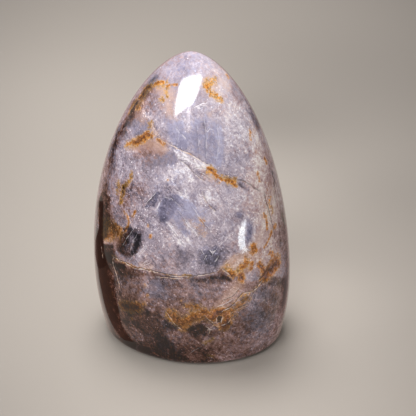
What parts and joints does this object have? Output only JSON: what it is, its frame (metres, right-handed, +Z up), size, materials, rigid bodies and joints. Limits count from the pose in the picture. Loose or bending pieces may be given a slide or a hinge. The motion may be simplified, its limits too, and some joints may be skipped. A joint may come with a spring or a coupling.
{
  "type": "polished quartz freeform stone",
  "caption": "Upright egg-like polished stone of clouded grey-pink quartz with rust veins, narrowing to a blunt tip and ground flat at the foot so that it stands unheld.",
  "frame": {"origin": "middle of the bounding box, on the surface that the stone stands on", "axes": "+Z up towards the tip, +X to the right of the front view, -Y towards the viewer of the front"},
  "size_m": [0.0808, 0.0646, 0.123],
  "materials": {
    "stone": "polished, cloudy and nearly opaque natural quartz with rust-stained cracks"
  },
  "bodies": {
    "root": {"stone": "stone"}
  },
  "joints": []
}
